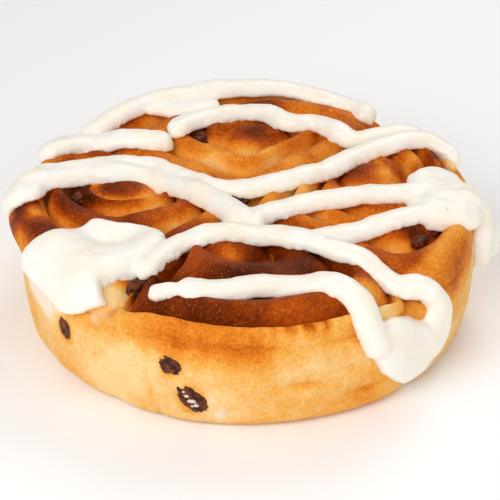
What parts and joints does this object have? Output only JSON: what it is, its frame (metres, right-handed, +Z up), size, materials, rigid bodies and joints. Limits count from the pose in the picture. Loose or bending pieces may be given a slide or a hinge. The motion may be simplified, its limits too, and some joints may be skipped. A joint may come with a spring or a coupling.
{
  "type": "chelsea bun",
  "caption": "Round tear-and-share chelsea bun: rolled fruited dough swirls baked together in a tin, browned on top, with raisins and thick piped white icing.",
  "frame": {"origin": "centre of the flat base, on the surface that the bun rests on", "axes": "+Z up out of the swirled top, -Y towards the low front side that the picture shows, +X to the right of that view"},
  "size_m": [0.1995, 0.1853, 0.0595],
  "materials": {
    "crust": "baked egg-washed dough: dark brown ridges, golden slopes, pale tin-side wall",
    "icing": "set white fondant icing, satin",
    "raisin": "dark wrinkled dried fruit, slightly glossy"
  },
  "bodies": {
    "root": {"bread": "crust", "icing": "icing", "raisin_left": "raisin", "raisin_back": "raisin", "raisin_middle": "raisin", "raisin_front": "raisin", "raisin_right_inner": "raisin", "raisin_right_outer": "raisin", "raisin_wall_left": "raisin", "raisin_wall_upper": "raisin", "raisin_wall_lower": "raisin"}
  },
  "joints": []
}
